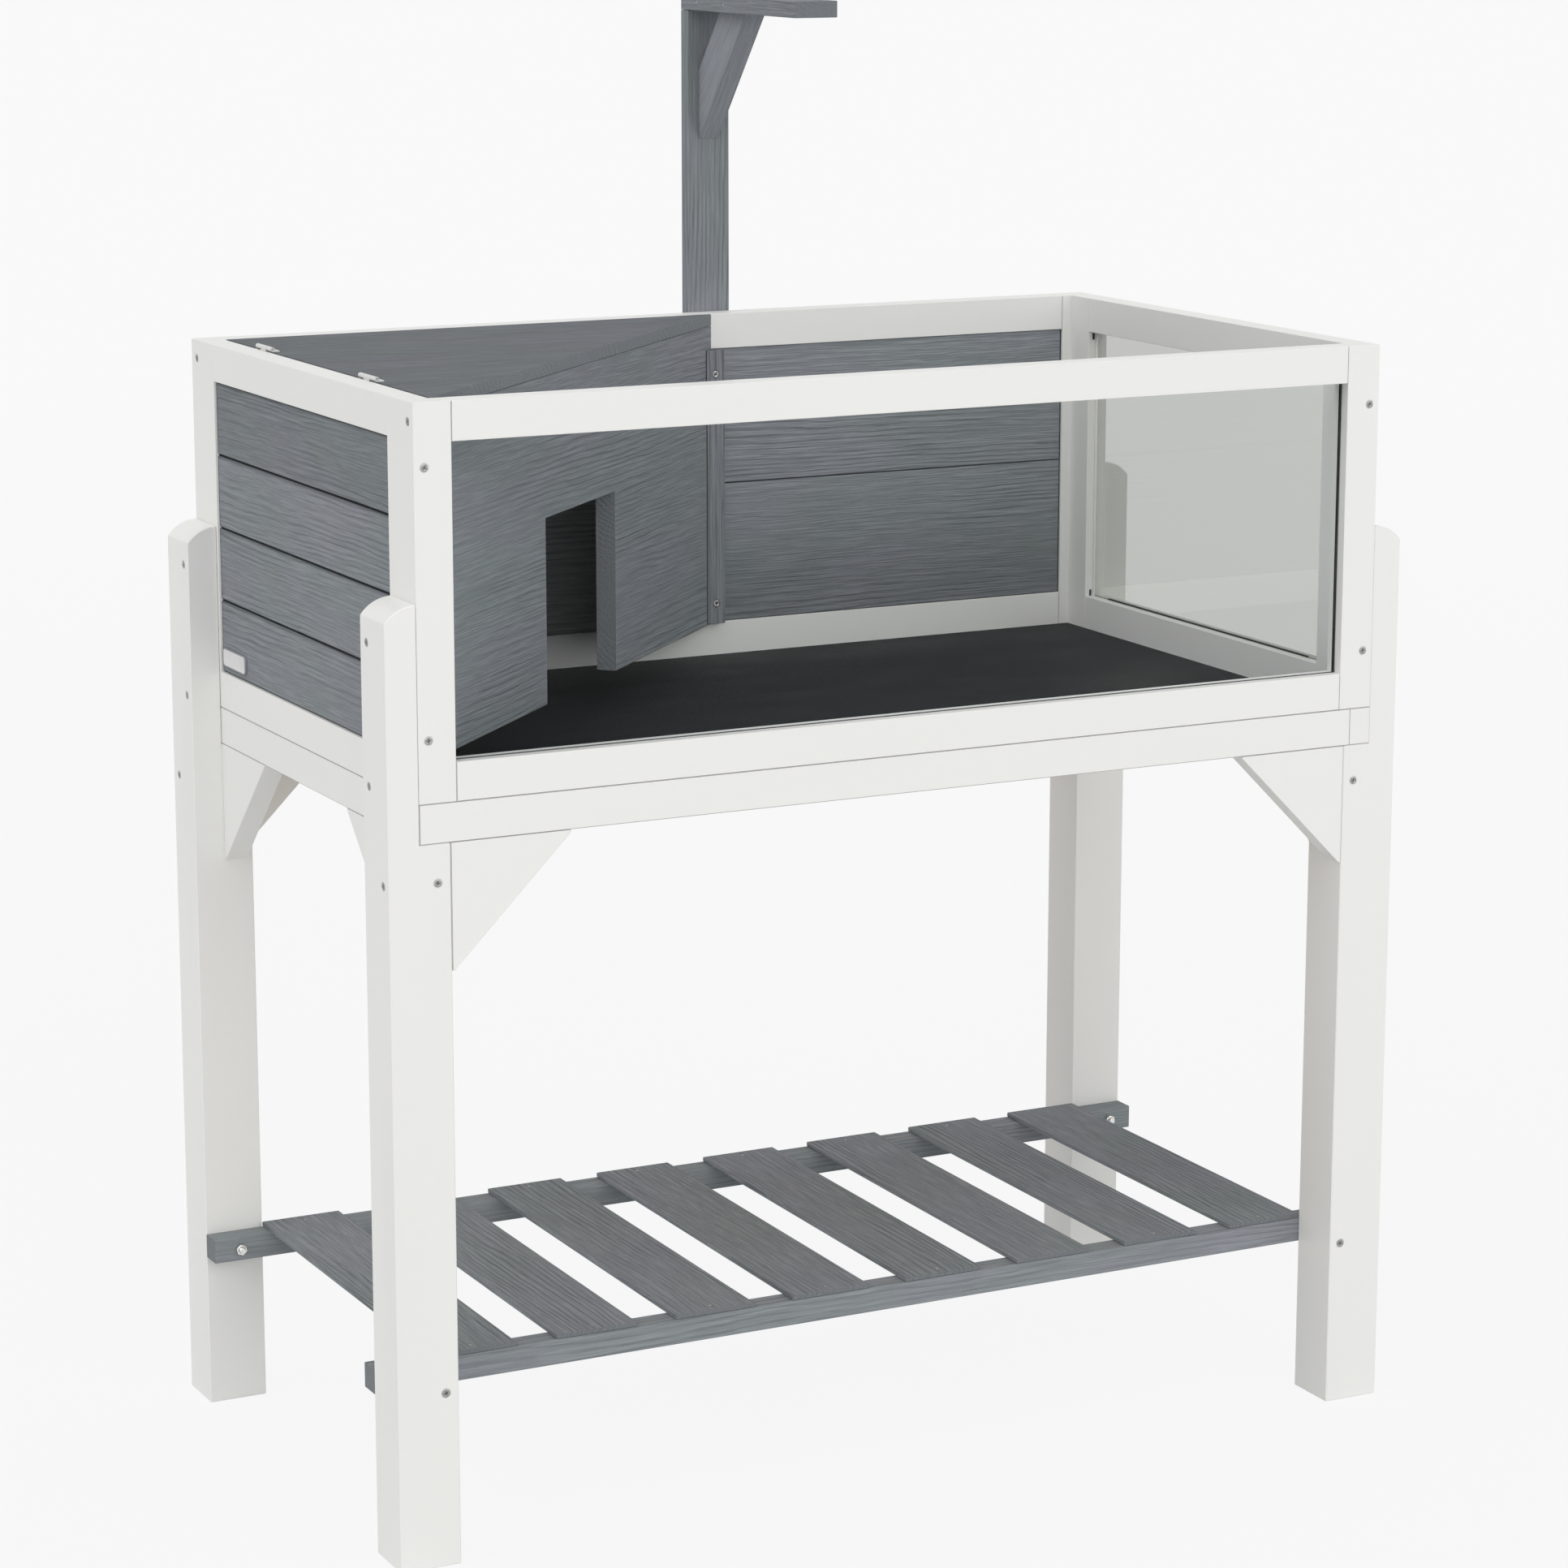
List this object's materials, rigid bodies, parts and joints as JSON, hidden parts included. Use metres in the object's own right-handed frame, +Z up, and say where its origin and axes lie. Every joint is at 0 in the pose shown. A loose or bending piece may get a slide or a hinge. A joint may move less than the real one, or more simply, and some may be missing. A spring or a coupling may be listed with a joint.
{
  "type": "tortoise house",
  "caption": "Raised tortoise house: planked and clear-walled wooden box on notched legs, with a corner hide under a hinged lid, a slatted shelf and a lamp stand.",
  "frame": {"origin": "on the floor, in the middle of the whole house's length and depth", "axes": "+X along the box to the right as seen from the front, +Y to the rear with the lamp stand, +Z up"},
  "size_m": [1.06, 0.5778, 1.385],
  "materials": {
    "white_paint": "satin warm white paint on planed timber",
    "grey_stain": "blue-grey stain over brushed grain",
    "plywood": "raw plywood",
    "liner": "smooth black sheet",
    "acrylic": "clear polished sheet",
    "steel": "zinc plated"
  },
  "bodies": {
    "enclosure": {"corner_post_front_left": "white_paint", "corner_post_front_right": "white_paint", "corner_post_rear_left": "white_paint", "corner_post_rear_right": "white_paint", "front_top_rail": "white_paint", "front_bottom_rail": "white_paint", "rear_top_rail": "white_paint", "rear_bottom_rail": "white_paint", "left_top_rail": "white_paint", "left_bottom_rail": "white_paint", "right_top_rail": "white_paint", "right_bottom_rail": "white_paint", "front_apron": "white_paint", "rear_apron": "white_paint", "left_apron": "white_paint", "right_apron": "white_paint", "leg_front_left": "white_paint", "leg_front_right": "white_paint", "leg_rear_left": "white_paint", "leg_rear_right": "white_paint", "gusset_front_left": "white_paint", "gusset_front_right": "white_paint", "gusset_rear_left": "white_paint", "gusset_rear_right": "white_paint", "gusset_left_front": "white_paint", "gusset_left_rear": "white_paint", "gusset_right_front": "white_paint", "gusset_right_rear": "white_paint", "left_plank_1": "grey_stain", "left_plank_2": "grey_stain", "left_plank_3": "grey_stain", "left_plank_4": "grey_stain", "rear_plank_1": "grey_stain", "rear_plank_2": "grey_stain", "front_window": "acrylic", "right_window": "acrylic", "floor_board": "plywood", "floor_liner": "liner", "shelf_rail_front": "grey_stain", "shelf_rail_rear": "grey_stain", "shelf_slat_1": "grey_stain", "shelf_slat_2": "grey_stain", "shelf_slat_3": "grey_stain", "shelf_slat_4": "grey_stain", "shelf_slat_5": "grey_stain", "shelf_slat_6": "grey_stain", "shelf_slat_7": "grey_stain", "shelf_slat_8": "grey_stain", "hide_partition": "grey_stain", "hide_batten": "grey_stain", "hinge_front_frame_leaf": "steel", "hinge_rear_frame_leaf": "steel", "lamp_post": "grey_stain", "lamp_arm": "grey_stain", "lamp_brace": "grey_stain"},
    "lid": {"hide_lid": "grey_stain", "hinge_front_lid_leaf": "steel", "hinge_rear_lid_leaf": "steel"}
  },
  "joints": [
    {"name": "lid_hinge", "type": "hinge", "parent": "enclosure", "child": "lid", "pos_m": [-0.4729, 0, 1.0666], "axis": [0, -1, 0], "range_deg": [0, 180]}
  ]
}
